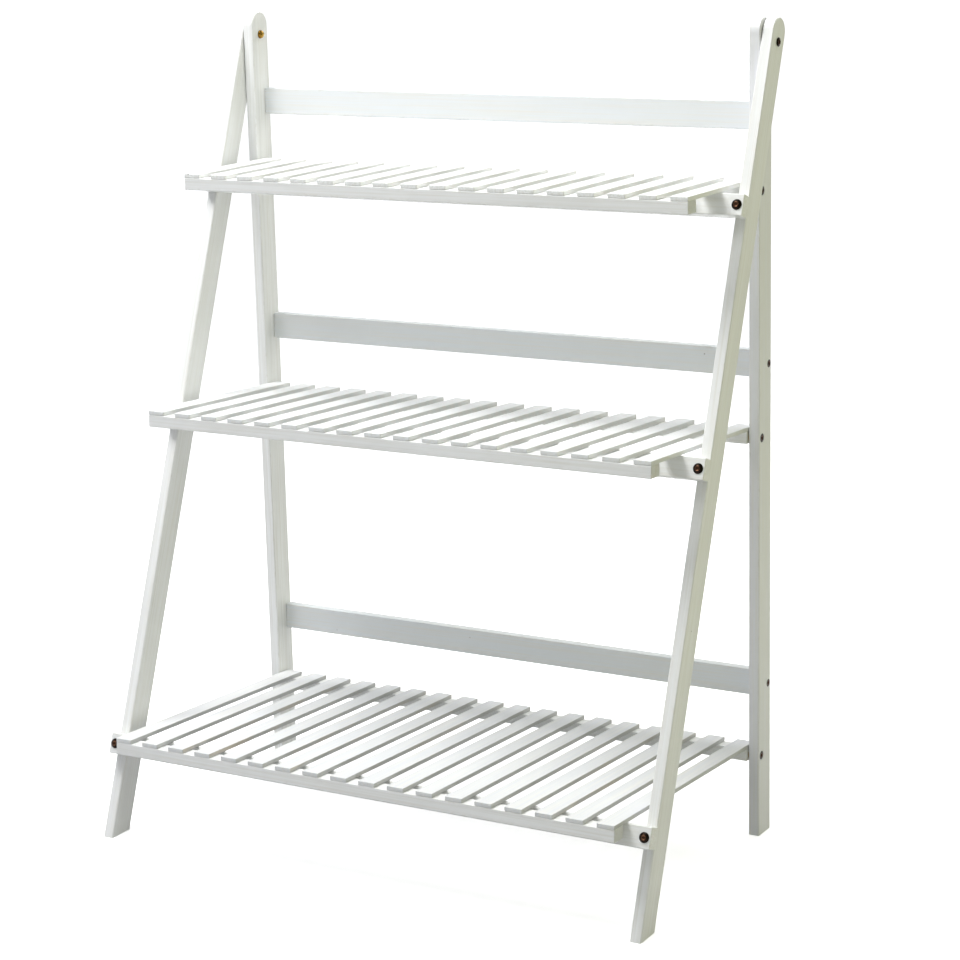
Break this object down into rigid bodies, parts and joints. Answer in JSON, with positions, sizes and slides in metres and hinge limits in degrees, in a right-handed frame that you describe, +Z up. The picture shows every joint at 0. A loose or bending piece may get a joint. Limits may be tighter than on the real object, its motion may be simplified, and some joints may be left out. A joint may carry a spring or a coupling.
{
  "type": "folding plant stand",
  "caption": "Free-standing folding plant ladder with slatted shelves that step out towards the floor; the shelves lift and the front frame folds flat against the back.",
  "frame": {"origin": "on the floor, at the centre of the open stand's footprint seen from above", "axes": "+Z up; -Y is the front, where the shelves reach out; +X is the right-hand side seen from the front"},
  "size_m": [0.702, 0.3746, 0.93],
  "materials": {
    "white_paint": "white satin paint over planed softwood, with the grain showing faintly",
    "dark_bronze": "dark bronze plating, worn to copper in the hex sockets",
    "yellow_brass": "bright yellow brass plating",
    "zinc_steel": "zinc plating, dull"
  },
  "bodies": {
    "rear_frame": {"rear_leg_left": "white_paint", "rear_leg_right": "white_paint", "back_board_top": "white_paint", "back_board_middle": "white_paint", "back_board_bottom": "white_paint", "back_board_screws": "dark_bronze", "frame_pivot_sleeves": "yellow_brass", "frame_pivot_bolts": "dark_bronze", "frame_pivot_washers": "yellow_brass"},
    "front_frame": {"front_leg_left": "white_paint", "front_leg_right": "white_paint", "front_crossbar_top": "white_paint", "front_crossbar_middle": "white_paint", "front_crossbar_bottom": "white_paint", "front_crossbar_bolts": "dark_bronze"},
    "top_shelf": {"top_shelf_front_rail": "white_paint", "top_shelf_rear_rail": "white_paint", "top_shelf_slats": "white_paint", "top_shelf_slat_brads": "zinc_steel", "top_shelf_pivot_bolts": "dark_bronze", "top_shelf_pivot_washers": "yellow_brass"},
    "middle_shelf": {"middle_shelf_front_rail": "white_paint", "middle_shelf_rear_rail": "white_paint", "middle_shelf_slats": "white_paint", "middle_shelf_slat_brads": "zinc_steel", "middle_shelf_pivot_bolts": "dark_bronze", "middle_shelf_pivot_washers": "yellow_brass"},
    "bottom_shelf": {"bottom_shelf_front_rail": "white_paint", "bottom_shelf_rear_rail": "white_paint", "bottom_shelf_slats": "white_paint", "bottom_shelf_slat_brads": "zinc_steel", "bottom_shelf_pivot_bolts": "dark_bronze", "bottom_shelf_pivot_washers": "yellow_brass"}
  },
  "joints": [
    {"name": "frame_fold", "type": "hinge", "parent": "rear_frame", "child": "front_frame", "pos_m": [0, 0.16751, 0.903], "axis": [1, 0, 0], "range_deg": [0, 20.3]},
    {"name": "top_shelf_lift", "type": "hinge", "parent": "rear_frame", "child": "top_shelf", "pos_m": [0, 0.15901, 0.7435], "axis": [-1, 0, 0], "range_deg": [0, 86]},
    {"name": "middle_shelf_lift", "type": "hinge", "parent": "rear_frame", "child": "middle_shelf", "pos_m": [0, 0.15901, 0.468], "axis": [-1, 0, 0], "range_deg": [0, 87]},
    {"name": "bottom_shelf_lift", "type": "hinge", "parent": "rear_frame", "child": "bottom_shelf", "pos_m": [0, 0.15901, 0.096], "axis": [-1, 0, 0], "range_deg": [0, 87]}
  ]
}
